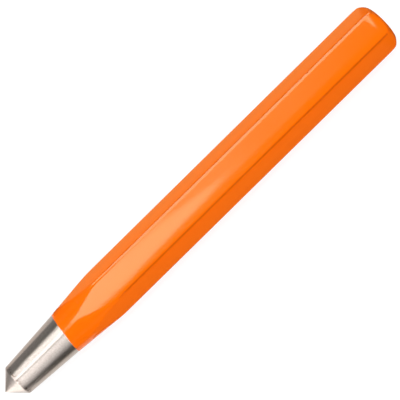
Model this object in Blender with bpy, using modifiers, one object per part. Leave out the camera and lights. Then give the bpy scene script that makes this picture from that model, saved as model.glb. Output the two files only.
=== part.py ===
"""Center punch made from one hexagonal steel bar, lying on one of its flats.

Run with: blender --background --python part.py

Metres, +Z up. The punch lies along X, with its point at -X and its striking face at +X. The
origin is on the surface that the punch lies on, under the middle of its length.

The shape is what the maker leaves: a hexagonal bar with rounded edges, turned in a lathe. So the
bar is a six-sided prism, and everything outside one turned shape is cut away from it.
"""

import math

import bmesh
import bpy

# The bar
OVERALL_LENGTH = 0.118
ACROSS_FLATS = 0.0112
EDGE_RADIUS = 0.0011

# The point and the nose, which are ground bare after painting
POINT_ANGLE = math.radians(90)
NOSE_DIAMETER = 0.0080
GROUND_LENGTH = 0.0192
NOSE_TAPER = math.radians(4.2)

# The shoulder, which runs from the ground nose up to the edges of the bar
SHOULDER_TAPER = math.radians(5.2)

# The head
STRIKING_FACE_DIAMETER = 0.0092
HEAD_CHAMFER_LENGTH = 0.0014
HEAD_CHAMFER_BULGE = 0.00012

# How finely the round surfaces are drawn
TURNED_STEPS = 96
EDGE_SEGMENTS = 4
CHAMFER_SEGMENTS = 4
SMOOTH_UNDER = math.radians(20)

# Finishes: colour, roughness, metallic
ORANGE_PAINT = ((0.95, 0.17, 0.012, 1.0), 0.28, 0.0)
BARE_STEEL = ((0.56, 0.52, 0.49, 1.0), 0.32, 1.0)

BAR_SIDES = 6
HALF_SIDE = math.pi / BAR_SIDES


def clear_scene():
    """Removes the objects that Blender starts with."""
    for thing in list(bpy.data.objects):
        bpy.data.objects.remove(thing)


def new_collection(name):
    """Makes a collection in the scene."""
    group = bpy.data.collections.new(name)
    bpy.context.scene.collection.children.link(group)
    return group


def make_material(name, finish):
    """Makes a Principled material from a colour, a roughness and a metallic value."""
    colour, roughness, metallic = finish
    material = bpy.data.materials.new(name)
    material.use_nodes = True
    shader = material.node_tree.nodes["Principled BSDF"]
    shader.inputs["Base Color"].default_value = colour
    shader.inputs["Roughness"].default_value = roughness
    shader.inputs["Metallic"].default_value = metallic
    material.diffuse_color = colour
    return material


def edge_crest_radius():
    """Distance from the bar's axis to the crest of one of its rounded edges."""
    return (ACROSS_FLATS / 2 - EDGE_RADIUS) / math.cos(HALF_SIDE) + EDGE_RADIUS


def point_length():
    """Length of the point, from its tip to the nose."""
    return NOSE_DIAMETER / 2 / math.tan(POINT_ANGLE / 2)


def ground_end_radius():
    """Radius where the ground nose meets the painted shoulder."""
    taper_length = GROUND_LENGTH - point_length()
    return NOSE_DIAMETER / 2 + taper_length * math.tan(NOSE_TAPER)


def clear_radius():
    """A radius that no part of the bar reaches, so nothing is turned away there."""
    widest = max(edge_crest_radius(), ground_end_radius(), STRIKING_FACE_DIAMETER / 2)
    return widest + EDGE_RADIUS


def head_profile():
    """Outline of the head from the axis outwards: a flat face and a slightly rounded chamfer."""
    face_radius = STRIKING_FACE_DIAMETER / 2
    width = edge_crest_radius() - face_radius
    chamfer = math.hypot(width, HEAD_CHAMFER_LENGTH)
    points = [(0.0, OVERALL_LENGTH)]
    for step in range(CHAMFER_SEGMENTS + 1):
        share = step / CHAMFER_SEGMENTS
        bulge = HEAD_CHAMFER_BULGE * 4 * share * (1 - share)
        radius = face_radius + share * width + bulge * HEAD_CHAMFER_LENGTH / chamfer
        height = OVERALL_LENGTH - share * HEAD_CHAMFER_LENGTH + bulge * width / chamfer
        points.append((radius, height))
    return points


def turned_profile():
    """Half outline of the turned shape as (radius, height), from the head down to the tip."""
    clear = clear_radius()
    ground_end = ground_end_radius()
    head_edge = OVERALL_LENGTH - HEAD_CHAMFER_LENGTH - (clear - edge_crest_radius())
    shoulder_end = GROUND_LENGTH + (clear - ground_end) / math.tan(SHOULDER_TAPER)
    points = head_profile()
    points.append((clear, head_edge))
    points.append((clear, shoulder_end))
    points.append((ground_end, GROUND_LENGTH))
    points.append((NOSE_DIAMETER / 2, point_length()))
    points.append((0.0, 0.0))
    return points


def make_turned_shape(group):
    """Turns the profile into the solid that the bar is cut down to.

    The profile starts half a step round from +X, so no facet's edge runs along an edge of the bar.
    """
    mesh = bpy.data.meshes.new("turned_shape")
    start = math.pi / TURNED_STEPS
    corners = [
        (radius * math.cos(start), radius * math.sin(start), height)
        for radius, height in turned_profile()]
    mesh.from_pydata(corners, [(i, i + 1) for i in range(len(corners) - 1)], [])
    turned = bpy.data.objects.new("turned_shape", mesh)
    group.objects.link(turned)
    turned.hide_render = True
    turned.display_type = "WIRE"
    screw = turned.modifiers.new("turn", "SCREW")
    screw.axis = "Z"
    screw.steps = TURNED_STEPS
    screw.render_steps = TURNED_STEPS
    screw.use_merge_vertices = True
    screw.merge_threshold = 0.000001
    return turned


def make_bar(group):
    """Saws a length of hexagonal bar, with some to spare at each end, and rounds its long edges."""
    sawn_length = OVERALL_LENGTH + ACROSS_FLATS
    corner_radius = ACROSS_FLATS / 2 / math.cos(HALF_SIDE)
    shape = bmesh.new()
    bmesh.ops.create_cone(
        shape, cap_ends=True, segments=BAR_SIDES,
        radius1=corner_radius, radius2=corner_radius, depth=sawn_length)
    long_edges = [edge for edge in shape.edges if edge.calc_length() > sawn_length / 2]
    bmesh.ops.bevel(
        shape, geom=long_edges, affect="EDGES", offset_type="OFFSET",
        offset=EDGE_RADIUS * math.tan(HALF_SIDE), segments=EDGE_SEGMENTS, profile=0.5)
    bmesh.ops.translate(shape, verts=shape.verts, vec=(0.0, 0.0, OVERALL_LENGTH / 2))
    mesh = bpy.data.meshes.new("center_punch")
    shape.to_mesh(mesh)
    shape.free()
    bar = bpy.data.objects.new("center_punch", mesh)
    group.objects.link(bar)
    return bar


def cut_to(bar, turned):
    """Keeps what the bar and the turned shape share, as a plain mesh."""
    cut = bar.modifiers.new("cut", "BOOLEAN")
    cut.operation = "INTERSECT"
    cut.solver = "EXACT"
    cut.object = turned
    bpy.context.view_layer.update()
    evaluated = bar.evaluated_get(bpy.context.evaluated_depsgraph_get())
    bar.data = bpy.data.meshes.new_from_object(evaluated)
    bar.data.name = "center_punch"
    bar.modifiers.clear()


def finish_surface(mesh):
    """Paints the punch, bares its nose, and shades its round surfaces smooth."""
    mesh.materials.clear()
    mesh.materials.append(make_material("orange_paint", ORANGE_PAINT))
    mesh.materials.append(make_material("bare_steel", BARE_STEEL))
    for face in mesh.polygons:
        face.material_index = 1 if face.center.z < GROUND_LENGTH else 0
    mesh.shade_smooth()
    mesh.set_sharp_from_angle(angle=SMOOTH_UNDER)


def lay_down(thing):
    """Lays an upright shape along X on the flat that faced +X, with its middle at the origin."""
    thing.rotation_euler = (0.0, math.radians(90), 0.0)
    thing.location = (-OVERALL_LENGTH / 2, 0.0, ACROSS_FLATS / 2)


def main():
    clear_scene()
    punch_group = new_collection("center_punch")
    cutters = new_collection("cutters")
    turned = make_turned_shape(cutters)
    punch = make_bar(punch_group)
    cut_to(punch, turned)
    finish_surface(punch.data)
    lay_down(punch)
    lay_down(turned)


main()
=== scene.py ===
# %% [markdown]
# # A painted center punch
# A center punch marks the place of a hole: its point is set on the metal and its other end is struck
# with a hammer. This one is a single length of hexagonal steel bar. A lathe has turned one end to a
# taper and a point and chamfered the other, the whole has been painted, and then the nose has been
# ground bare again. We load the plain solid first, because everything here has to fit it.

# %% Load the plain solid
import math

import bmesh
import bpy
from mathutils import Matrix, Vector


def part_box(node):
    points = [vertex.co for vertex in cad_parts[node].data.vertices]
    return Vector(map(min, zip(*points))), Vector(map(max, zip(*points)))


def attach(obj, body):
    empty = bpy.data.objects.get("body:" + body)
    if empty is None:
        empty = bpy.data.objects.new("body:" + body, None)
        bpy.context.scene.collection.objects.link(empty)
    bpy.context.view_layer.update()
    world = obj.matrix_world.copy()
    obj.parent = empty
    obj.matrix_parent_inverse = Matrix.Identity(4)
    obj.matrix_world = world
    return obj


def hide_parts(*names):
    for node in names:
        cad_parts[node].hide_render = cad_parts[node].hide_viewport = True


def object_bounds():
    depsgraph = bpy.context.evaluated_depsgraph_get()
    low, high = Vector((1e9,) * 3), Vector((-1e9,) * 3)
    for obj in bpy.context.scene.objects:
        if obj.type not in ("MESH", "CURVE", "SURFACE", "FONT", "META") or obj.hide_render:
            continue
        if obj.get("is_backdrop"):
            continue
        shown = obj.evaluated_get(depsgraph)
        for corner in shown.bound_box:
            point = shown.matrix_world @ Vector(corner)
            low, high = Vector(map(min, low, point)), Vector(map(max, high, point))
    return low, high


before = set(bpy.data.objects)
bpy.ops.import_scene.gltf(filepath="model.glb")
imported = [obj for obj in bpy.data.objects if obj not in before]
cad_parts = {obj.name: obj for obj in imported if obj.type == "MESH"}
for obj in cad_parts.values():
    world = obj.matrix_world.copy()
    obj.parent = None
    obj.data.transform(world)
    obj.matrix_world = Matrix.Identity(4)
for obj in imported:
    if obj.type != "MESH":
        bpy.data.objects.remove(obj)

plain_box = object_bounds()
low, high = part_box("center_punch")
print("plain solid:", [round(side * 1000, 2) for side in high - low], "mm")

# %% [markdown]
# ## Sizes
# The punch lies along X on one flat of its bar, with its point at -X. Its length and its width across
# flats are read from the solid, less a skin of a thousandth of a millimetre, so that the dressed punch
# stays inside the plain one. The other sizes are those that a workshop drawing would give. Distances
# along the punch start at its tip.
#
# A rolled bar's flats aren't perfectly flat. They bulge by less than a tenth of a millimetre, and so a
# lamp's reflection runs across a flat as a soft band. Without that crown each flat would be one tone.

# %% Sizes of the punch
SKIN = 0.000001
TIP_X = low.x
OVERALL_LENGTH = high.x - low.x - SKIN
ACROSS_FLATS = high.z - low.z - 2 * SKIN
AXIS_HEIGHT = (high.z + low.z) / 2

EDGE_RADIUS = 0.0011
CROWN_RADIUS = 0.060
NOSE_DIAMETER = 0.0080
POINT_ANGLE = math.radians(90)
GROUND_LENGTH = 0.0192
NOSE_TAPER = math.radians(4.2)
SHOULDER_TAPER = math.radians(5.2)
STRIKING_FACE_DIAMETER = 0.0092
HEAD_CHAMFER_LENGTH = 0.0014
HEAD_CHAMFER_BULGE = 0.00012

# %% [markdown]
# The widest place of the bar is the crest of a rounded edge. The crown's arc and the edge's arc meet
# smoothly, so the centres of the two arcs and the bar's axis make a triangle, and the sine rule gives
# the angle at which the crown ends.

# %% The bar's widest place
BAR_SIDES = 6
HALF_SIDE = math.pi / BAR_SIDES
crown_to_edge = CROWN_RADIUS - EDGE_RADIUS
crown_sink = CROWN_RADIUS - ACROSS_FLATS / 2
crown_angle = HALF_SIDE - math.asin(crown_sink * math.sin(HALF_SIDE) / crown_to_edge)
EDGE_CREST = crown_to_edge * math.sin(crown_angle) / math.sin(HALF_SIDE) + EDGE_RADIUS
print("bar:", round(ACROSS_FLATS * 1000, 2), "mm across flats,", round(EDGE_CREST * 2000, 2), "across edges")

# %% [markdown]
# ## Small things that the eye looks for
# No edge on a real tool is perfectly sharp, and light finds each one. The tip is rounded by a tenth of
# a millimetre, grinding leaves a fine edge round the foot of the point, and the paint softens every
# edge that it covers. The film of paint has a thickness, so it ends on the nose in a tiny lip. Near
# the striking face the flats sink a little, because the bar's end was dressed by hand.

# %% Sizes of the fine detail
TIP_ROUND = 0.00012
NOSE_EDGE_ROUND = 0.00012
PAINT_FILM = 0.00006
SHOULDER_SOFTNESS = 0.00018
HEAD_SOFTNESS = 0.0005
FACE_EDGE_ROUND = 0.0004
HEAD_SINK = 0.0003
HEAD_SINK_LENGTH = 0.0034

# %% [markdown]
# The nose was ground by hand after painting. So the line where the paint stops isn't square to the bar:
# it leans, and it wanders a little. The foot of the point, ground in the same way, leans too.

# %% Sizes of the hand grinding
LINE_LEAN_UP = 0.00065
LINE_LEAN_SIDEWAYS = 0.0006
LINE_WANDER = 0.00006
FOOT_LEAN_UP = 0.00045
LEAN_REACH = 0.004

# %% [markdown]
# ## The turned outline
# Everything that the lathe did can be drawn as one line: for each distance from the tip, the radius
# there. We build it as a list of rows. Straight stretches crowd their rows towards their ends, so that
# smooth shading doesn't smear a rounded corner over its neighbours.

# %% Helpers that draw the outline
def straight(start, end, count):
    """Points on a straight line, crowded towards both ends, without the last one."""
    shares = [(1 - math.cos(math.pi * i / count)) / 2 for i in range(count)]
    return [start.lerp(end, share) for share in shares]


def corner(before, at, after, reach, count):
    """Points that round a corner off, from `reach` before it to `reach` after it."""
    start = at + (before - at).normalized() * reach
    end = at + (after - at).normalized() * reach
    points = []
    for i in range(count + 1):
        share = i / count
        points.append(start.lerp(at, share).lerp(at.lerp(end, share), share))
    return points


# %% [markdown]
# The point is a cone with a rounded tip. At its foot it meets the nose, which widens much more slowly.

# %% Outline of the point and the bare nose
TIP_ROWS, POINT_ROWS, FOOT_ROWS, NOSE_ROWS = 6, 22, 6, 26
HALF_POINT = POINT_ANGLE / 2
FOOT = Vector((NOSE_DIAMETER / 2 / math.tan(HALF_POINT), NOSE_DIAMETER / 2))


def point_and_nose():
    """Rows from the tip to the paint line."""
    end = FOOT + Vector((1, math.tan(NOSE_TAPER))) * (GROUND_LENGTH - FOOT.x)
    end.y -= PAINT_FILM
    centre = TIP_ROUND / math.sin(HALF_POINT)
    rows = []
    for i in range(1, TIP_ROWS + 1):
        turn = math.pi / 2 + (HALF_POINT - math.pi / 2) * i / TIP_ROWS
        rows.append(Vector((centre - TIP_ROUND * math.sin(turn), TIP_ROUND * math.cos(turn))))
    edge = corner(rows[-1], FOOT, end, NOSE_EDGE_ROUND, FOOT_ROWS)
    rows += straight(rows[-1], edge[0], POINT_ROWS)[1:]
    rows += edge
    rows += straight(edge[-1], end, NOSE_ROWS)[1:]
    return rows


bare_rows = point_and_nose()
print("point and nose:", len(bare_rows), "rows, the last with radius", round(bare_rows[-1].y, 5))

# %% [markdown]
# The paint begins with a rounded lip. Behind it the shoulder widens until it has passed the edges of
# the bar. From there the outline stays clear of the bar, whose own flats take over. The curved tips of
# the flats fall on the shoulder, so its rows are close together.

# %% Outline of the painted shoulder
PAINT_LIP = 0.00012
LIP_ROWS, SHOULDER_ROWS = 7, 115
CLEAR_RADIUS = EDGE_CREST + 1.5 * HEAD_SOFTNESS


def lip_and_shoulder(bare_end):
    """Rows from the paint line to where the outline is clear of the bar."""
    rows = []
    for i in range(LIP_ROWS + 1):
        turn = math.pi / 2 * i / LIP_ROWS
        rows.append(bare_end + Vector((PAINT_LIP * (1 - math.cos(turn)), PAINT_FILM * math.sin(turn))))
    start = rows[-1]
    length = (CLEAR_RADIUS - start.y) / math.tan(SHOULDER_TAPER)
    end = start + Vector((length, CLEAR_RADIUS - start.y))
    for i in range(1, SHOULDER_ROWS + 1):
        rows.append(start.lerp(end, i / SHOULDER_ROWS))
    return rows


painted_rows = lip_and_shoulder(Vector((GROUND_LENGTH, bare_rows[-1].y)))
print("shoulder:", len(painted_rows), "rows, the last at", round(painted_rows[-1].x, 4))

# %% [markdown]
# At the other end the lathe has cut a slightly rounded chamfer and a flat striking face.

# %% Outline of the head
RUN_IN_ROWS, CHAMFER_ROWS, RIM_ROWS, FACE_ROWS = 20, 32, 8, 16


def head():
    """Rows from the bar over the chamfer to the middle of the striking face."""
    middle = Vector((OVERALL_LENGTH, 0))
    face_edge = Vector((OVERALL_LENGTH, STRIKING_FACE_DIAMETER / 2))
    crest = Vector((OVERALL_LENGTH - HEAD_CHAMFER_LENGTH, EDGE_CREST))
    slope = (face_edge - crest).normalized()
    outwards = Vector((-slope.y, slope.x))
    start = crest + slope * (1.6 * HEAD_SOFTNESS / slope.y)
    rows = [start.lerp(crest, i / RUN_IN_ROWS) for i in range(RUN_IN_ROWS)]
    for i in range(CHAMFER_ROWS + 1):
        share = i / CHAMFER_ROWS
        bulge = HEAD_CHAMFER_BULGE * 4 * share * (1 - share)
        rows.append(crest.lerp(face_edge, share) + outwards * bulge)
    rim = corner(rows[-2], face_edge, middle, FACE_EDGE_ROUND, RIM_ROWS)
    rows = [row for row in rows if (row - face_edge).length > FACE_EDGE_ROUND]
    return rows + rim + straight(rim[-1], middle, FACE_ROWS)[1:]


head_rows = head()
print("head:", len(head_rows), "rows, the first at", round(head_rows[0].x, 4))

# %% [markdown]
# The bar between shoulder and head is straight, so its rows only keep the mesh's faces from growing too
# long. Now the four stretches are put in one list.

# %% Put the outline together
BAR_ROWS = 60
bar_rows = straight(painted_rows[-1], Vector((head_rows[0].x, CLEAR_RADIUS)), BAR_ROWS)[1:]
outline = bare_rows + painted_rows[1:] + bar_rows + head_rows
print("outline:", len(outline), "rows")

# %% [markdown]
# ## What each row knows
# Each row also carries a few values: whether it is painted, how softly the turned surface runs into
# the flats there, how far the flats sink, how far the grinding leans, and how near the foot of the
# point is, where grinding dirt gathers. A bell curve fades a value in and out round its place.

# %% Values of each row
DIRT_PAST_FOOT = 0.0006
DIRT_REACH = 0.0008


def bell(distance, reach):
    """Runs smoothly from 1 at no distance down to 0 at the reach."""
    share = min(1.0, abs(distance) / reach)
    return 1 - share * share * (3 - 2 * share)


def head_share(row):
    """Runs from 0 where the flats begin to sink to 1 at the striking face."""
    return max(0.0, 1 - (OVERALL_LENGTH - row.x) / HEAD_SINK_LENGTH)


bare_count, head_count = len(bare_rows), len(head_rows)
body_count = len(outline) - bare_count - head_count
at_line = [bell(row.x - GROUND_LENGTH, LEAN_REACH) for row in outline]
at_foot = [min(row.x / FOOT.x, bell(max(0.0, row.x - FOOT.x), LEAN_REACH)) for row in outline]
row_values = {
    "painted": [0.0] * bare_count + [1.0] * (len(outline) - bare_count),
    "softness": [0.0] * bare_count + [SHOULDER_SOFTNESS] * body_count + [HEAD_SOFTNESS] * head_count,
    "sink": [HEAD_SINK * head_share(row) ** 2 for row in outline],
    "dirt": [bell(row.x - FOOT.x - DIRT_PAST_FOOT, DIRT_REACH) for row in outline],
    "lean_up": [LINE_LEAN_UP * line + FOOT_LEAN_UP * foot for line, foot in zip(at_line, at_foot)],
    "lean_sideways": [LINE_LEAN_SIDEWAYS * line for line in at_line],
    "wander": [LINE_WANDER * line for line in at_line]}
print("each row carries:", ", ".join(row_values))

# %% [markdown]
# A node tree can't read a Python list, but it can read points. So the outline becomes a mesh of loose
# points, with X for the place along the punch, Z for the radius, and an attribute for each value. The
# first helper puts an object in the scene, and later cells use it too.

# %% Write the outline as points
def new_object(name, data):
    """Makes an object from its data and puts it in the scene."""
    made = bpy.data.objects.new(name, data)
    bpy.context.scene.collection.objects.link(made)
    return made


def outline_object():
    """The outline as an object whose points carry their rows' values."""
    mesh = bpy.data.meshes.new("painted_punch")
    mesh.from_pydata([(TIP_X + row.x, 0.0, row.y) for row in outline], [], [])
    for name, values in row_values.items():
        mesh.attributes.new(name, "FLOAT", "POINT").data.foreach_set("value", values)
    return new_object("painted_punch", mesh)


punch = outline_object()
print("outline object:", len(punch.data.vertices), "points")

# %% [markdown]
# ## Helpers for node trees
# The next cells build several node trees. These helpers keep that short: two feed sockets with values
# or with other nodes' outputs, one adds a node, and one adds a step of arithmetic.

# %% Helpers that add nodes
def feed(tree, socket, value):
    """Links a socket to another node's output, or sets it to a plain value."""
    if isinstance(value, bpy.types.NodeSocket):
        tree.links.new(value, socket)
    else:
        socket.default_value = value


def feed_all(tree, node, inputs):
    """Feeds several inputs of a node, by their names or numbers."""
    for name, value in inputs.items():
        feed(tree, node.inputs[name], value)


def add_node(tree, kind, inputs=None, **settings):
    """Adds a node, sets its properties and feeds its inputs."""
    node = tree.nodes.new(kind)
    for name, value in settings.items():
        setattr(node, name, value)
    feed_all(tree, node, inputs or {})
    return node


def calc(tree, operation, *values, clamp=False):
    """Adds a Math node and returns its output, which a clamp keeps between 0 and 1."""
    node = add_node(tree, "ShaderNodeMath", operation=operation, use_clamp=clamp)
    for socket, value in zip(node.inputs, values):
        feed(tree, socket, value)
    return node.outputs[0]


# %% [markdown]
# Vectors are taken apart and put together often, and each group needs its named inputs and outputs.

# %% Helpers for vectors and group sockets
def split(tree, vector):
    """The X, Y and Z of a vector."""
    return add_node(tree, "ShaderNodeSeparateXYZ", {0: vector}).outputs


def length(tree, x, y):
    """The length of a line that goes x one way and y the other."""
    return calc(tree, "SQRT", calc(tree, "MULTIPLY_ADD", x, x, calc(tree, "MULTIPLY", y, y)))


def join(tree, x, y, z):
    """A vector from its X, Y and Z."""
    return add_node(tree, "ShaderNodeCombineXYZ", {"X": x, "Y": y, "Z": z}).outputs[0]


def floats(*names):
    """Names of sockets, all of the kind Float."""
    return dict.fromkeys(names, "Float")


def add_sockets(tree, inputs, outputs):
    """Gives a tree its named inputs and outputs, each with its kind, and returns the inputs."""
    for in_out, sockets in (("INPUT", inputs), ("OUTPUT", outputs)):
        for name, kind in sockets.items():
            tree.interface.new_socket(name, in_out=in_out, socket_type="NodeSocket" + kind)
    return tree.nodes.new("NodeGroupInput").outputs


# %% [markdown]
# ## The bar's section
# We walk once round the bar with a share that runs from 0 to 1. The walk has six equal stages, and
# each stage is a flat seen from its middle: the crown's arc, and then an arc round each edge. First the
# sizes that all stages have in common, by the same triangle as before.

# %% The crown and the edge
def crown_sizes(tree, given):
    """How far apart the two arcs' centres are, how far the crown's lies off the axis, and its end."""
    half_width = calc(tree, "MULTIPLY", given["Across Flats"], 0.5)
    spread = calc(tree, "SUBTRACT", given["Crown Radius"], given["Edge Radius"])
    sink = calc(tree, "SUBTRACT", half_width, given["Crown Radius"])
    ratio = calc(tree, "DIVIDE", calc(tree, "MULTIPLY", sink, -math.sin(HALF_SIDE)), spread)
    return spread, sink, calc(tree, "SUBTRACT", HALF_SIDE, calc(tree, "ARCSINE", ratio))


# %% [markdown]
# Then the stage and the place on it. Most points would be wasted on the flats if they were spread
# evenly, so an input says what share of them the flats get, and the edges get the rest.

# %% Where on the walk a point is
def walk(tree, given, crown_end):
    """The stage, the signed offset in it, the turn on the crown, the whole turn, and the edge share."""
    stages = calc(tree, "MULTIPLY", given["Share"], BAR_SIDES)
    stage = calc(tree, "FLOOR", calc(tree, "ADD", stages, 0.5))
    offset = calc(tree, "SUBTRACT", stages, stage)
    reach = calc(tree, "ABSOLUTE", offset)
    flat_reach = calc(tree, "MULTIPLY", given["Points On Flats"], 0.5)
    on_flat = calc(tree, "DIVIDE", reach, flat_reach, clamp=True)
    past_flat = calc(tree, "SUBTRACT", reach, flat_reach, clamp=True)
    on_edge = calc(tree, "DIVIDE", past_flat, calc(tree, "SUBTRACT", 0.5, flat_reach))
    crown_turn = calc(tree, "MULTIPLY", crown_end, on_flat)
    rest = calc(tree, "SUBTRACT", HALF_SIDE, crown_end)
    return stage, offset, crown_turn, calc(tree, "MULTIPLY_ADD", rest, on_edge, crown_turn), on_edge


# %% [markdown]
# Last, the two arcs are added up and turned into an angle and a distance from the axis.

# %% Node group: once round the bar
def rounded_hexagon_group():
    """Turns a share of the way round into an angle and a distance from the axis."""
    tree = bpy.data.node_groups.new("Rounded Hexagon", "GeometryNodeTree")
    given = add_sockets(tree, floats(
        "Share", "Across Flats", "Edge Radius", "Crown Radius", "Points On Flats"),
        floats("Angle", "Radius", "Edge"))
    spread, sink, crown_end = crown_sizes(tree, given)
    stage, offset, crown_turn, turn, on_edge = walk(tree, given, crown_end)
    out = calc(tree, "MULTIPLY_ADD", spread, calc(tree, "COSINE", crown_turn), sink)
    out = calc(tree, "MULTIPLY_ADD", given["Edge Radius"], calc(tree, "COSINE", turn), out)
    along = calc(tree, "MULTIPLY", spread, calc(tree, "SINE", crown_turn))
    along = calc(tree, "MULTIPLY_ADD", given["Edge Radius"], calc(tree, "SINE", turn), along)
    signed = calc(tree, "MULTIPLY", along, calc(tree, "SIGN", offset))
    angle = calc(tree, "MULTIPLY_ADD", stage, 2 * HALF_SIDE, calc(tree, "ARCTAN2", signed, out))
    radius = length(tree, along, out)
    add_node(tree, "NodeGroupOutput", {"Angle": angle, "Radius": radius, "Edge": on_edge})
    return tree


hexagon_group = rounded_hexagon_group()
print("node group:", hexagon_group.name, "with", len(hexagon_group.nodes), "nodes")

# %% [markdown]
# ## How the grinding leans
# A plane cut at a slant crosses a round bar in a line whose place follows a cosine. One wave once round
# therefore leans the line, and a few shorter waves of odd counts make it wander like a line made by
# hand.

# %% Node group: how far a ring is shifted along the bar
WANDER_WAVES = ((3, 0.4, 0.5), (5, 2.1, 0.35), (11, 1.3, 0.15))


def hand_grinding_group():
    """Gives how far a ring of the punch is shifted along it at each angle round it."""
    tree = bpy.data.node_groups.new("Hand Grinding", "GeometryNodeTree")
    given = add_sockets(tree, floats("Angle", "Lean Up", "Lean Sideways", "Wander"), floats("Shift"))
    shift = calc(tree, "MULTIPLY", given["Lean Up"], calc(tree, "COSINE", given["Angle"]))
    shift = calc(tree, "MULTIPLY_ADD", given["Lean Sideways"], calc(tree, "SINE", given["Angle"]), shift)
    for count, start, share in WANDER_WAVES:
        wave = calc(tree, "SINE", calc(tree, "MULTIPLY_ADD", given["Angle"], count, start))
        shift = calc(tree, "MULTIPLY_ADD", calc(tree, "MULTIPLY", given["Wander"], share), wave, shift)
    add_node(tree, "NodeGroupOutput", {"Shift": shift})
    return tree


grinding_group = hand_grinding_group()
print("node group:", grinding_group.name, "with", len(grinding_group.nodes), "nodes")

# %% [markdown]
# ## From an outline to a punch
# The main tree starts with a plain cylinder that has one ring for each row of the outline. We could
# cut the shape with a Boolean instead, as the plain solid was, but then its triangles would be long
# and uneven, and smooth shading would show them. A mesh of even rings shades cleanly.

# %% Main tree: its inputs and its cylinder
tree = bpy.data.node_groups.new("Turned Hexagonal Bar", "GeometryNodeTree")
given = add_sockets(tree, {
    "Outline": "Geometry", "Points Round": "Int", "Steel": "Material", "Paint": "Material",
    **floats("Across Flats", "Edge Radius", "Crown Radius", "Points On Flats", "Axis Height", "Taper")},
    {"Punch": "Geometry"})

size = add_node(tree, "GeometryNodeAttributeDomainSize", {0: given["Outline"]}, component="MESH")
last_row = calc(tree, "SUBTRACT", size.outputs["Point Count"], 1)
cylinder = add_node(tree, "GeometryNodeMeshCylinder", {
    "Vertices": given["Points Round"], "Side Segments": last_row, "Radius": 1.0, "Depth": 1.0},
    fill_type="TRIANGLE_FAN")
print("main tree:", len(tree.interface.items_tree), "sockets")

# %% [markdown]
# Each point of the cylinder works out which row it belongs to from its height, and how far round it is
# from its direction. The two middle points of the ends lie on the axis, so their radius stays 0.

# %% Main tree: the row and the way round
place = tree.nodes.new("GeometryNodeInputPosition").outputs[0]
parts = split(tree, place)
row_number = calc(tree, "ROUND", calc(tree, "MULTIPLY", calc(tree, "ADD", parts["Z"], 0.5), last_row))
share = calc(tree, "DIVIDE", calc(tree, "ARCTAN2", parts["Y"], parts["X"]), 2 * math.pi)
off_axis = calc(tree, "ROUND", length(tree, parts["X"], parts["Y"]))
print("main tree:", len(tree.nodes), "nodes")

# %% [markdown]
# Then it looks its row up. Sample Index reads a value from one point of the outline, and the row's
# number says from which.

# %% Main tree: look the row up
def from_outline(field, data_type):
    """Reads a field from the outline's point for this row."""
    return add_node(tree, "GeometryNodeSampleIndex", {
        "Geometry": given["Outline"], "Value": field, "Index": row_number},
        data_type=data_type, domain="POINT").outputs["Value"]


def attribute(name):
    """The attribute of that name, as a field."""
    node = add_node(tree, "GeometryNodeInputNamedAttribute", {"Name": name}, data_type="FLOAT")
    return node.outputs["Attribute"]


row = {name: from_outline(attribute(name), "FLOAT") for name in row_values}
row_place = split(tree, from_outline(place, "FLOAT_VECTOR"))
print("main tree:", len(row), "values read for each row")

# %% [markdown]
# Now comes the rule that makes the shape: the radius is the smaller of the turned one and the bar's.
# That is exactly what a lathe does to a hexagonal bar, and it draws the curved tips where the flats run
# out on the shoulder. A smooth minimum rounds off the line where the two meet, as the paint does.

# %% Main tree: the radius
bar = add_node(tree, "GeometryNodeGroup", {
    "Share": share, "Across Flats": given["Across Flats"], "Edge Radius": given["Edge Radius"],
    "Crown Radius": given["Crown Radius"], "Points On Flats": given["Points On Flats"]},
    node_tree=hexagon_group)
angle = bar.outputs["Angle"]
shift = add_node(tree, "GeometryNodeGroup", {
    "Angle": angle, "Lean Up": row["lean_up"], "Lean Sideways": row["lean_sideways"],
    "Wander": row["wander"]}, node_tree=grinding_group).outputs["Shift"]

turned = calc(tree, "MULTIPLY_ADD", shift, given["Taper"], row_place["Z"])
flats = calc(tree, "SUBTRACT", bar.outputs["Radius"], row["sink"])
radius = calc(tree, "MULTIPLY", calc(tree, "SMOOTH_MIN", turned, flats, row["softness"]), off_axis)
print("main tree:", len(tree.nodes), "nodes")

# %% [markdown]
# The angle and the radius give the new place. The edges of the bar get an attribute of their own, so
# that the paint's material can darken them with painted shade. It fades out where the shoulder has
# turned them away. From here on the shape goes through one node after another.

# %% Main tree: the new place and the attributes
EDGE_FADE = 0.0005
along = calc(tree, "ADD", row_place["X"], shift)
sideways = calc(tree, "MULTIPLY", radius, calc(tree, "SINE", angle))
up = calc(tree, "MULTIPLY_ADD", radius, calc(tree, "COSINE", angle), given["Axis Height"])
new_place = join(tree, along, sideways, up)
spare = calc(tree, "SUBTRACT", turned, bar.outputs["Radius"])
edge = calc(tree, "MULTIPLY", bar.outputs["Edge"], calc(tree, "DIVIDE", spare, EDGE_FADE, clamp=True))


def then(kind, inputs=None, **settings):
    """Sends the shape through one more node."""
    inputs = {"Geometry": shape, **(inputs or {})}
    return add_node(tree, "GeometryNode" + kind, inputs, **settings).outputs[0]


shape = cylinder.outputs["Mesh"]
for name, value in (("painted", row["painted"]), ("edge", edge), ("dirt", row["dirt"])):
    shape = then("StoreNamedAttribute", {"Name": name, "Value": value}, data_type="FLOAT", domain="POINT")
shape = then("SetPosition", {"Position": new_place})
print("main tree:", len(tree.nodes), "nodes")

# %% [markdown]
# The tree ends with the two finishes: steel everywhere, and then paint on the faces whose rows are
# painted. The face on the paint line has two painted corners of four, so 0.4 puts the lip in paint.

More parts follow.
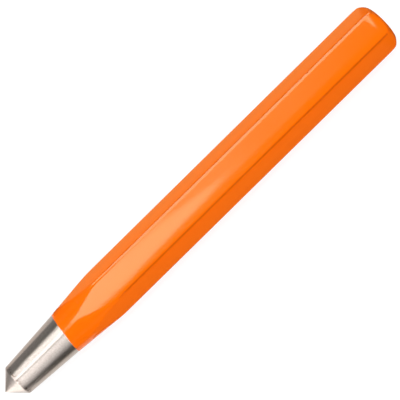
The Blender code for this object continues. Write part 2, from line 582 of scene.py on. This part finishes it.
# %% Main tree: the finishes
MOSTLY_PAINTED = 0.4
painted_faces = calc(tree, "GREATER_THAN", attribute("painted"), MOSTLY_PAINTED)
shape = then("SetShadeSmooth")
shape = then("RealizeInstances")
shape = then("SetMaterial", {"Material": given["Steel"]})
shape = then("SetMaterial", {"Material": given["Paint"], "Selection": painted_faces})
add_node(tree, "NodeGroupOutput", {"Punch": shape})
print("main tree:", len(tree.nodes), "nodes in all")

# %% [markdown]
# ## Run the tree
# Inputs are set by each socket's identifier before anything is evaluated. The result is then made a
# plain mesh, so that nothing later depends on the modifier.

# %% Wrap the outline round the bar
POINTS_ROUND = 240
POINTS_ON_FLATS = 0.75
steel = bpy.data.materials.new("ground_steel")
paint = bpy.data.materials.new("orange_enamel")


def run_tree(thing, tree, values):
    """Runs a node tree on an object and keeps the result as its plain mesh."""
    modifier = thing.modifiers.new(tree.name, "NODES")
    modifier.node_group = tree
    for item in tree.interface.items_tree:
        if item.in_out == "INPUT" and item.name in values:
            modifier[item.identifier] = values[item.name]
    bpy.context.view_layer.update()
    evaluated = thing.evaluated_get(bpy.context.evaluated_depsgraph_get())
    thing.data = bpy.data.meshes.new_from_object(evaluated)
    thing.modifiers.clear()
    while thing.data.materials[0] is None:
        thing.data.materials.pop(index=0)


run_tree(punch, tree, {
    "Points Round": POINTS_ROUND, "Across Flats": ACROSS_FLATS, "Edge Radius": EDGE_RADIUS,
    "Crown Radius": CROWN_RADIUS, "Points On Flats": POINTS_ON_FLATS, "Axis Height": AXIS_HEIGHT,
    "Taper": math.tan(NOSE_TAPER), "Steel": steel, "Paint": paint})
print("punch:", len(punch.data.polygons), "faces in", [finish.name for finish in punch.data.materials])

# %% [markdown]
# ## Check the mesh
# A solid's mesh is closed and faces outwards. The volume that its faces enclose is positive if they do.

# %% Check that the mesh is closed and faces outwards
def check_closed(thing):
    """Prints the open edges and the volume of a mesh, and turns its faces round if they face in."""
    shape = bmesh.new()
    shape.from_mesh(thing.data)
    open_edges = sum(1 for edge in shape.edges if len(edge.link_faces) != 2)
    if shape.calc_volume(signed=True) < 0:
        bmesh.ops.reverse_faces(shape, faces=shape.faces)
    volume = shape.calc_volume(signed=True) * 1e9
    shape.to_mesh(thing.data)
    shape.free()
    print(thing.name, "has", open_edges, "open edges and", round(volume, 1), "mm3")


check_closed(punch)

# %% [markdown]
# ## Effects that both finishes share
# Two patterns are built once as shader groups. Both read Object coordinates, so they have a real size
# and don't slide when the punch is moved.
#
# The first is fine lines round the axis, as a grinding wheel leaves them: a noise that is squeezed to a
# few hundredths of a millimetre along X and stretched to millimetres the other way.

# %% Shader group: lines round the axis
def object_place(tree):
    """The X, Y and Z of the place on a thing, in its own coordinates."""
    return split(tree, add_node(tree, "ShaderNodeTexCoord").outputs["Object"])


def round_lines_group():
    """Fine lines round the axis."""
    tree = bpy.data.node_groups.new("Lines Round The Axis", "ShaderNodeTree")
    given = add_sockets(tree, floats("Line Width", "Line Length"), floats("Height"))
    parts = object_place(tree)
    stretched = join(tree, calc(tree, "DIVIDE", parts["X"], given["Line Width"]),
                     calc(tree, "DIVIDE", parts["Y"], given["Line Length"]),
                     calc(tree, "DIVIDE", parts["Z"], given["Line Length"]))
    noise = add_node(tree, "ShaderNodeTexNoise", {
        "Vector": stretched, "Scale": 1.0, "Detail": 3.0, "Roughness": 0.6})
    add_node(tree, "NodeGroupOutput", {"Height": noise.outputs["Fac"]})
    return tree


lines_group = round_lines_group()
print("shader group:", lines_group.name)

# %% [markdown]
# The second is soft patches of a chosen size. With large patches it varies a colour, and with small
# ones it makes specks, or the faint orange peel of a sprayed film.

# %% Shader group: patches
def patches_of_a_size_group():
    """Soft patches of a given size, between 0 and 1."""
    tree = bpy.data.node_groups.new("Patches", "ShaderNodeTree")
    given = add_sockets(tree, floats("Patch Size", "Contrast", "Seed"), floats("Mask"))
    noise = add_node(tree, "ShaderNodeTexNoise", {
        "Vector": add_node(tree, "ShaderNodeTexCoord").outputs["Object"], "W": given["Seed"],
        "Scale": calc(tree, "DIVIDE", 1.0, given["Patch Size"]), "Detail": 3.0}, noise_dimensions="4D")
    spread = calc(tree, "MULTIPLY", calc(tree, "SUBTRACT", noise.outputs["Fac"], 0.5), given["Contrast"])
    add_node(tree, "NodeGroupOutput", {"Mask": calc(tree, "ADD", spread, 0.5, clamp=True)})
    return tree


patches_group = patches_of_a_size_group()
print("shader group:", patches_group.name)

# %% [markdown]
# A material places these groups with its own values and mixes what they give.

# %% Helpers for the finishes
def nodes_of(material):
    """Turns a material's nodes on, and returns its tree and its shader."""
    material.use_nodes = True
    return material.node_tree, material.node_tree.nodes["Principled BSDF"]


def place_group(tree, group, **values):
    """Places a shader group in a material with its own values, and returns its output."""
    inputs = {name.replace("_", " ").title(): value for name, value in values.items()}
    return add_node(tree, "ShaderNodeGroup", inputs, node_tree=group).outputs[0]


def span(tree, factor, start, end):
    """Runs from one number to another as the factor goes from 0 to 1."""
    return calc(tree, "MULTIPLY_ADD", factor, end - start, start)


def blend(tree, factor, first, second):
    """Mixes two colours."""
    return add_node(tree, "ShaderNodeMix", {0: factor, 6: first, 7: second}, data_type="RGBA").outputs[2]


def raise_surface(tree, height, depth, **more):
    """Adds a bump of a real depth and returns its normal."""
    inputs = {"Height": height, "Distance": depth, **more}
    return add_node(tree, "ShaderNodeBump", inputs).outputs["Normal"]


def attribute_of(tree, name):
    """Reads one of the punch's own attributes in a material."""
    return add_node(tree, "ShaderNodeAttribute", attribute_name=name).outputs["Fac"]


# %% [markdown]
# ## Orange paint
# The body is sprayed with a glossy enamel of a strong orange. Its colour hardly varies, so two close
# oranges run into each other in patches of a few millimetres. Along the edges a darker orange is
# painted shade, for the dark lines that the edges show. The gloss comes from a low roughness, and the
# specular tint warms what it reflects, as the orange film does. The orange peel is 3 micrometres deep:
# just enough to bend a reflection.

# %% Mix the paint
PAINT_ORANGE = (0.98, 0.150, 0.0006, 1)
PAINT_PALER = (0.96, 0.158, 0.0010, 1)
# The darker orange along the edges is painted shade.
PAINT_EDGE_SHADE = (0.56, 0.075, 0.0004, 1)
PAINT_GLOSS_TINT = (1.0, 0.82, 0.55, 1)
PAINT_ROUGHNESS = (0.085, 0.10)
PEEL_DEPTH = 0.000003


def mix_paint(material):
    """Gives a material the body's orange enamel."""
    tree, shader = nodes_of(material)
    patches = place_group(tree, patches_group, patch_size=0.006, contrast=1.5)
    peel = place_group(tree, patches_group, patch_size=0.0009, contrast=1.0, seed=3.0)
    # Painted shade along the bar's edges, strongest at their crests.
    edge_shade = calc(tree, "POWER", attribute_of(tree, "edge"), 1.5)
    colour = blend(tree, patches, PAINT_ORANGE, PAINT_PALER)
    feed_all(tree, shader, {
        "Base Color": blend(tree, edge_shade, colour, PAINT_EDGE_SHADE),
        "Roughness": span(tree, patches, *PAINT_ROUGHNESS),
        "Normal": raise_surface(tree, peel, PEEL_DEPTH),
        "Specular Tint": PAINT_GLOSS_TINT})


mix_paint(paint)
print("paint:", len(paint.node_tree.nodes), "nodes")

# %% [markdown]
# ## Ground steel
# The nose shows bare steel with fine grinding lines round it. Such lines spread a reflection along the
# punch and keep it sharp round it, which gives the long bright and dark bands. Anisotropic shading does
# that, with a tangent that runs round the X axis. Specks of two greys, a slow roll of the surface and
# a little dark dirt behind the foot of the point keep it from looking like new chrome.

# %% Colours and depths of the steel
STEEL_DARK = (0.51, 0.445, 0.405, 1)
STEEL_LIGHT = (0.60, 0.54, 0.50, 1)
GRINDING_DIRT = (0.24, 0.18, 0.145, 1)
STEEL_ROUGHNESS = (0.26, 0.35)
LINE_DEPTH = 0.000004
ROLL_DEPTH = 0.00001
DENTS_FROM = 0.35
DENT_CONTRAST = 4.0


def steel_colour(tree, specks, roll):
    """Two greys in specks, and dirt where specks and roll are both high near the foot."""
    dents = calc(tree, "MULTIPLY", calc(tree, "SUBTRACT", specks, DENTS_FROM), DENT_CONTRAST)
    near_foot = calc(tree, "MULTIPLY", attribute_of(tree, "dirt"), roll)
    dirt = calc(tree, "MULTIPLY", dents, near_foot, clamp=True)
    return blend(tree, dirt, blend(tree, specks, STEEL_DARK, STEEL_LIGHT), GRINDING_DIRT)


# %% [markdown]
# The two bumps are chained: the slow roll first, and the fine lines on top of it.

# %% Grind the steel
def grind_steel(material):
    """Gives a material the look of ground bare steel."""
    tree, shader = nodes_of(material)
    lines = place_group(tree, lines_group, line_width=0.00006, line_length=0.004)
    specks = place_group(tree, patches_group, patch_size=0.00035, contrast=3.0, seed=1.0)
    roll = place_group(tree, patches_group, patch_size=0.0022, contrast=1.5, seed=5.0)
    rolling = raise_surface(tree, roll, ROLL_DEPTH)
    round_x = add_node(tree, "ShaderNodeTangent", direction_type="RADIAL", axis="X")
    feed_all(tree, shader, {
        "Base Color": steel_colour(tree, specks, roll),
        "Roughness": span(tree, lines, *STEEL_ROUGHNESS),
        "Normal": raise_surface(tree, lines, LINE_DEPTH, Normal=rolling),
        "Tangent": round_x.outputs[0],
        "Metallic": 1, "Anisotropic": 0.95, "Anisotropic Rotation": 0.25})


grind_steel(steel)
print("steel:", len(steel.node_tree.nodes), "nodes")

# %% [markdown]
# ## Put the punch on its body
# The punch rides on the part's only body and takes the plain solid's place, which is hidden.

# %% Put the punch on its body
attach(punch, "root")
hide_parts("center_punch")
print("punch rides on root and replaces center_punch")

# %% [markdown]
# ## Camera
# We look at the punch from a quarter of a metre away and from almost straight above, leaning a little
# to its near side. The camera is turned in its own frame, so that the punch lies across the picture
# from one corner to the other. The point is at the lower left, and it is a little nearer to the edge.

# %% Place the camera
CAMERA_DISTANCE = 0.249
LEAN_SIDEWAYS = math.radians(4.3)
LEAN_TO_POINT = math.radians(-1.47)
TURN_IN_FRAME = math.radians(44.54)
LENS = 100.1
AIM_RIGHT = 0.00182
AIM_UP = 0.00200


def make_camera():
    """A camera above the punch."""
    turn = (Matrix.Rotation(TURN_IN_FRAME, 3, "Z") @ Matrix.Rotation(LEAN_TO_POINT, 3, "Y")
            @ Matrix.Rotation(-LEAN_SIDEWAYS, 3, "X")).transposed()
    data = bpy.data.cameras.new("camera")
    data.lens = LENS
    data.clip_start = 0.01
    data.clip_end = 20
    made = new_object("camera", data)
    place = turn @ Vector((AIM_RIGHT, AIM_UP, CAMERA_DISTANCE)) + Vector((0, 0, AXIS_HEIGHT))
    made.matrix_world = Matrix.Translation(place) @ turn.to_4x4()
    bpy.context.scene.camera = made
    return made


camera = make_camera()
print("camera at", [round(distance * 1000) for distance in camera.matrix_world.translation], "mm")

# %% [markdown]
# ## Floor
# The punch lies on a white sweep with hardly any shadow. A white floor would throw much light up on the
# punch, so this one is a middling grey that glows only for the camera, for mirror-like and for
# see-through rays. The camera sees white with a soft shadow, and the punch is lit by a grey floor.

# %% Helpers for the floor and the cards
WHITE = (1, 1, 1, 1)
ABOVE_FLOOR = 0.0001


def seen_directly(tree):
    """1 for the camera, in gloss and through glass, and 0 for the light that falls on things."""
    rays = tree.nodes.new("ShaderNodeLightPath").outputs
    seen = calc(tree, "MAXIMUM", rays["Is Camera Ray"], rays["Is Glossy Ray"])
    return calc(tree, "MAXIMUM", seen, rays["Is Transmission Ray"])


def level(x0, x1, y0, y1, z=ABOVE_FLOOR):
    """The corners of a level rectangle."""
    return [Vector((x, y, z)) for x, y in ((x0, y0), (x1, y0), (x1, y1), (x0, y1))]


def surface(name, corners, faces, material):
    """An object made of corners and faces, with one material."""
    mesh = bpy.data.meshes.new(name)
    mesh.from_pydata(corners, [], faces)
    mesh.materials.append(material)
    return new_object(name, mesh)


# %% [markdown]
# The floor itself is a square that reaches far past every view.

# %% Lay the floor
FLOOR_SIZE = 4.0
FLOOR_GREY = (0.30, 0.30, 0.30, 1)
FLOOR_GLOW = 0.76


def make_floor():
    """A wide pale floor just under the punch."""
    material = bpy.data.materials.new("pale_floor")
    tree, shader = nodes_of(material)
    feed_all(tree, shader, {
        "Base Color": FLOOR_GREY, "Roughness": 1.0, "Specular IOR Level": 0.0, "Emission Color": WHITE,
        "Emission Strength": calc(tree, "MULTIPLY", seen_directly(tree), FLOOR_GLOW)})
    half = FLOOR_SIZE / 2
    made = surface("floor", level(-half, half, -half, half, 0.0), [(0, 1, 2, 3)], material)
    made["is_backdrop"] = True
    return made


floor = make_floor()
print("floor:", floor.dimensions.x, "m wide")

# %% [markdown]
# ## Lamps
# A long soft box hangs half a metre over the punch, with a wide soft light on either side. A lamp's
# power is worked out from the brightness of its surface and its area, so lamps of different sizes can
# be compared. Each lamp only lights things or only shows in their gloss. That keeps the amount of light
# apart from the shape of the reflections, which the cards below take care of.

# %% Helper for lamps
LAMP_HEIGHT = 0.5 + AXIS_HEIGHT


def soft_box(name, place, size, brightness, turn=0.0, towards=(0, 0, -1), in_gloss=False):
    """A rectangular lamp, with the brightness of its surface. It lights, or it shows in the gloss."""
    data = bpy.data.lights.new(name, "AREA")
    data.shape = "RECTANGLE"
    data.size, data.size_y = size
    data.energy = brightness * math.pi * size[0] * size[1]
    lamp = new_object(name, data)
    facing = Vector(towards).to_track_quat("-Z", "Y").to_matrix().to_4x4()
    lamp.matrix_world = Matrix.Translation(place) @ facing @ Matrix.Rotation(turn, 4, "Z")
    lamp.visible_camera = False
    lamp.visible_diffuse = not in_gloss
    lamp.visible_glossy = in_gloss
    return lamp


# %% [markdown]
# The long box lies along the other diagonal of the picture. The edge light is seen only in the gloss:
# it draws the bright line along the far edge of the upper flat.

# %% Hang the lamps
STRIP_BRIGHTNESS = 6.2
lamps = [
    soft_box("strip_light", Vector((-0.1228, 0.0905, LAMP_HEIGHT)), (0.46, 0.109), STRIP_BRIGHTNESS,
             turn=-TURN_IN_FRAME),
    soft_box("near_fill", Vector((0.0, -0.5, 0.25)), (0.6, 0.2), 4.4, towards=(0, 0.5, -0.25)),
    soft_box("far_fill", Vector((0.0, 0.5, 0.25)), (0.6, 0.2), 4.2, towards=(0, -0.5, -0.25)),
    soft_box("edge_light", Vector((0.045, 0.2725, LAMP_HEIGHT)), (0.25, 0.355), 6.5, in_gloss=True)]
print("lamps:", [lamp.name for lamp in lamps])

# %% [markdown]
# ## Cards that only the gloss shows
# A shiny thing looks like what stands round it, so a photographer sets white, grey and black cards
# beside it. Ours shine by themselves, cast no shadow and light nothing. Only mirror-like rays see them.

# %% Helpers for cards
def glow_material(name, colour=WHITE):
    """A material that only shines."""
    material = bpy.data.materials.new(name)
    feed_all(*nodes_of(material), {
        "Base Color": (0, 0, 0, 1), "Specular IOR Level": 0.0, "Emission Color": colour,
        "Emission Strength": 1.0})
    return material


def only_in_gloss(name, corners, faces, material):
    """A thing beside the punch that only the punch's gloss shows."""
    thing = surface(name, corners, faces, material)
    thing.visible_camera = False
    thing.visible_diffuse = False
    thing.visible_shadow = False
    thing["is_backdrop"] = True
    return thing


def make_card(name, corners, *colour):
    """A flat card of one grey, or of one red, green and blue."""
    red, green, blue = colour if len(colour) == 3 else colour * 3
    return only_in_gloss(name, corners, [range(len(corners))], glow_material(name, (red, green, blue, 1)))


# %% [markdown]
# Straight above hang two bright cards. The strip card is the long soft box as the flats show it: a
# bright patch that starts at the shoulder and ends at a slant halfway along the bar. The end card is
# narrow, and its reflection is the small wedge of light just before the chamfer.

# %% Bright cards above
CARD_HEIGHT = LAMP_HEIGHT - 0.001


def overhead(name, *places):
    """A level card above the punch, as bright as the soft box."""
    return make_card(name, [Vector((x, y, CARD_HEIGHT)) for x, y in places], STRIP_BRIGHTNESS)


above = [
    overhead("strip_card", (-0.235, 0.030), (-0.09, 0.0005), (-0.008, 0.0155), (0.0132, 0.0333),
             (-0.0339, 0.0796), (-0.235, 0.175)),
    overhead("end_card", (0.165, 0.10), (0.188, 0.035), (0.212, 0.035), (0.25, 0.10), (0.25, 0.45),
             (0.165, 0.45))]
print("cards above:", [card.name for card in above])

# %% [markdown]
# Between them the flat fades slowly towards the head. So the top card has a brightness that runs along
# X. A colour ramp does it, and the next cells use the same helper for the arch and the sky.

# %% Helper for a brightness that changes
def ramp(tree, factor, stops):
    """Turns a factor into a brightness by stops of (value, brightness)."""
    start, end = stops[0][0], stops[-1][0]
    share = calc(tree, "DIVIDE", calc(tree, "SUBTRACT", factor, start), end - start)
    node = add_node(tree, "ShaderNodeValToRGB", {"Fac": share})
    marks = node.color_ramp.elements
    for i, (value, light) in enumerate(stops):
        place = (value - start) / (end - start)
        mark = marks[i] if i < 2 else marks.new(place)
        mark.position = place
        mark.color = (light, light, light, 1)
    return node.outputs["Color"]


# %% [markdown]
# Each stop of the top card is a place along X and the brightness there.

# %% A card whose brightness fades
TOP_CARD_STOPS = ((-0.10, 2.2), (0.021, 2.15), (0.0375, 1.6), (0.055, 1.2), (0.074, 1.3), (0.094, 1.0),
                  (0.113, 0.72), (0.14, 0.3), (0.24, 0.2))


def make_top_card():
    """A level card whose brightness fades along X."""
    material = glow_material("top_card")
    tree, shader = nodes_of(material)
    feed(tree, shader.inputs["Emission Color"], ramp(tree, object_place(tree)["X"], TOP_CARD_STOPS))
    corners = level(TOP_CARD_STOPS[0][0], TOP_CARD_STOPS[-1][0], 0.013, 0.12, LAMP_HEIGHT)
    return only_in_gloss("top_card", corners, [(0, 1, 2, 3)], material)


top_card = make_top_card()
print("top card:", round(top_card.dimensions.x, 2), "m long")

# %% [markdown]
# The nose tapers towards the tip, so it reflects what is further out over its end. There a sheet is
# bent over the set like an arch. Its brightness is given by the angle from straight above: negative
# angles are on the near side. The steel shows it as bands: grey, dark, pale, a thin grey line, white,
# and dark again.

# %% The shape of the arch over the nose
ARCH_START, ARCH_END = -0.57, -0.29
ARCH_RADIUS = 0.50
ARCH_BRIGHTNESS = 2.1
ARCH_STOPS = (
    (-88, 0.35), (-81, 0.5), (-75, 0.7), (-68, 1.0), (-62, 1.4), (-55, 1.7), (-48, 1.85), (-36, 2.4),
    (-26, 2.8), (-12, 3.1), (-7, 2.3), (-1, 1.3), (3, 0.4), (6, 0.05), (12, 0.1), (21, 0.4), (35, 0.9),
    (48, 1.4), (54, 1.3), (60, 0.25), (80, 0.25))


def arch_shape(steps=48):
    """The corners and faces of a sheet that is bent round the punch's axis."""
    first, last = ARCH_STOPS[0][0], ARCH_STOPS[-1][0]
    corners = []
    for i in range(steps + 1):
        turn = math.radians(first + (last - first) * i / steps)
        for x in (ARCH_START, ARCH_END):
            corners.append((x, ARCH_RADIUS * math.sin(turn), AXIS_HEIGHT + ARCH_RADIUS * math.cos(turn)))
    return corners, [(2 * i, 2 * i + 1, 2 * i + 3, 2 * i + 2) for i in range(steps)]


# %% [markdown]
# Its material works the angle out from the place on the sheet, and looks the brightness up.

# %% The arch over the nose
def make_arch():
    """An arch with a brightness that runs round it."""
    material = glow_material("nose_arch")
    tree, shader = nodes_of(material)
    place = object_place(tree)
    degrees = calc(tree, "DEGREES", calc(tree, "ARCTAN2", place["Y"], place["Z"]))
    feed_all(tree, shader, {
        "Emission Color": ramp(tree, degrees, ARCH_STOPS),
        "Emission Strength": ARCH_BRIGHTNESS})
    return only_in_gloss("nose_arch", *arch_shape(), material)


arch = make_arch()
print("arch:", len(arch.data.polygons), "strips")

# %% [markdown]
# Behind all of this stands a dark round tent, so that the gloss stays deep between the bright cards.
# It is a dome of rings that get smaller towards its top.

# %% The shape of the tent
TENT_RADIUS = 1.9


def dome(rings=12, around=48):
    """The corners and faces of a dome over the whole set."""
    corners = []
    for i in range(rings + 1):
        rise = math.pi / 2 * i / rings
        for j in range(around):
            turn = 2 * math.pi * j / around
            outwards = Vector((math.cos(turn), math.sin(turn), 0)) * math.cos(rise)
            corners.append((outwards + Vector((0, 0, math.sin(rise)))) * TENT_RADIUS)
    faces = []
    for i in range(rings):
        for j in range(around):
            k = (j + 1) % around
            faces.append((i * around + j, i * around + k, (i + 1) * around + k, (i + 1) * around + j))
    return corners, faces


# %% [markdown]
# Only its wall beyond the point is bright, and the brightness fades in smoothly along X.

# %% The dark tent
TENT_GREY = 0.02
TENT_END_GREY = 1.4
FADE_START_X = -0.6 * TENT_RADIUS
FADE_END_X = -0.8 * TENT_RADIUS


def make_tent():
    """A tent that is dark but for its wall beyond the point."""
    material = glow_material("tent")
    tree, shader = nodes_of(material)
    fade = add_node(tree, "ShaderNodeMapRange", {
        "Value": object_place(tree)["X"], "From Min": FADE_START_X, "From Max": FADE_END_X,
        "To Min": TENT_GREY, "To Max": TENT_END_GREY}, interpolation_type="SMOOTHSTEP")
    feed(tree, shader.inputs["Emission Strength"], fade.outputs["Result"])
    return only_in_gloss("tent", *dome(), material)


tent = make_tent()
print("tent:", len(tent.data.polygons), "faces")

# %% [markdown]
# Low cards stand round the punch. The dark ones draw the thin dark lines along the edges of the upper
# flat, and the far glow above one of them puts a bright line beside the dark one. Grinding lines smear
# a reflection along the punch, so the nose would show the glow too. A photographer puts up a flag
# against that, a small dark card between the lamp and the thing, and so do we. Beside the nose the near
# card is lower: its top decides how far up the nose the dark band reaches.

# %% Cards that stand beside the punch
BODY_X = -0.038
CARDS_END_X = 0.12
CARD_SIDE = 0.05


def upright(x0, y0, x1, y1, top, bottom=ABOVE_FLOOR):
    """The corners of a card that stands between two places."""
    return [Vector(place) for place in ((x0, y0, bottom), (x1, y1, bottom), (x1, y1, top), (x0, y0, top))]


beside = [
    make_card("far_card", upright(BODY_X, CARD_SIDE, CARDS_END_X, CARD_SIDE, 0.023), 0.02),
    make_card("far_glow", upright(BODY_X, CARD_SIDE, CARDS_END_X, CARD_SIDE, 0.066, 0.0245), 7.4, 7.8, 6.8),
    make_card("far_tall_glow", upright(-0.030, CARD_SIDE, -0.012, CARD_SIDE, 0.14, 0.066), 6.0),
    make_card("flag", [Vector((BODY_X - 0.0005, y, z)) for y, z in (
        (0.0057, ABOVE_FLOOR), (CARD_SIDE, ABOVE_FLOOR), (CARD_SIDE, 0.070), (0.004, 0.0145),
        (0.003, 0.0105))], 0.05),
    make_card("near_card", upright(BODY_X, -CARD_SIDE, CARDS_END_X, -CARD_SIDE, 0.025), 0.05),
    make_card("near_nose_card", upright(-0.10, -CARD_SIDE, BODY_X, -CARD_SIDE, 0.0125), 0.05),
    make_card("left_card", upright(-0.0683, 0.0033, -0.0153, 0.0572, 0.0165, 0.0032), 0.27),
    make_card("point_card", upright(-0.15, 0.011, -0.15, 0.09, 0.04), 0.35)]
print("cards beside:", [card.name for card in beside])

# %% [markdown]
# The lower flats and the lower half of the nose look at the floor, so sheets lie on it on both sides
# of the punch. Most are grey. Beside the point one is bright and the other is much darker, which splits
# the point in a light and a dark half, as a cone in a studio looks.

# %% Sheets that lie on the floor
SHEETS_END_X = 0.08
sheets = [
    make_card("near_sheet", level(BODY_X, SHEETS_END_X, -CARD_SIDE, -0.009), 0.1, 0.14, 0.11),
    make_card("near_nose_sheet", level(-0.058, BODY_X, -0.02, -0.006), 0.90, 0.85, 0.80),
    make_card("near_dark_sheet", level(-0.10, BODY_X, -CARD_SIDE, -0.02), 0.125, 0.105, 0.09),
    make_card("near_point_sheet", level(-0.15, -0.066, -CARD_SIDE, -0.001), 2.8, 2.7, 2.6),
    make_card("far_sheet", level(BODY_X, SHEETS_END_X, 0.007, 0.027), 0.58, 0.66, 0.33),
    make_card("far_dark_sheet", level(BODY_X, SHEETS_END_X, 0.027, CARD_SIDE), 0.02),
    make_card("far_nose_sheet", level(-0.062, BODY_X, 0.007, CARD_SIDE), 0.82, 0.76, 0.71),
    make_card("far_point_sheet", level(-0.15, -0.062, -0.001, CARD_SIDE), 0.68, 0.62, 0.58),
    make_card("end_sheet", level(0.0605, 0.2, -CARD_SIDE, CARD_SIDE), 0.02)]
print("sheets on the floor:", len(sheets))

# %% [markdown]
# ## Sky
# The sky lights the punch softly, more from above than from the sides. Seen directly or in gloss
# it is plain white, so that the background is white from every side.

# %% The sky
SKY_STOPS = ((0.0, 0.14), (0.17, 0.14), (0.375, 0.21), (0.574, 0.40), (0.743, 0.68), (0.866, 0.76),
             (0.95, 0.82), (1.0, 0.83))


def make_sky():
    """A sky that lights more from above, and that is white where it is seen."""
    world = bpy.data.worlds.new("studio")
    world.use_nodes = True
    tree = world.node_tree
    direction = split(tree, add_node(tree, "ShaderNodeTexCoord").outputs["Generated"])
    light = ramp(tree, direction["Z"], SKY_STOPS)
    colour = blend(tree, seen_directly(tree), light, WHITE)
    feed(tree, tree.nodes["Background"].inputs["Color"], colour)
    bpy.context.scene.world = world
    return world


sky = make_sky()
bpy.context.scene.view_settings.view_transform = "Standard"
print("sky:", sky.name, "with", len(SKY_STOPS), "stops")

# %% [markdown]
# ## Sizes before and after
# The last cell notes the size of the plain solid and of the dressed punch.

# %% Print the sizes
dressed_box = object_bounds()
grown = [round((dressed_box[1][i] - plain_box[1][i]) * 1e6, 2) for i in range(3)]
print("dressed punch reaches past the plain one by", grown, "micrometres")
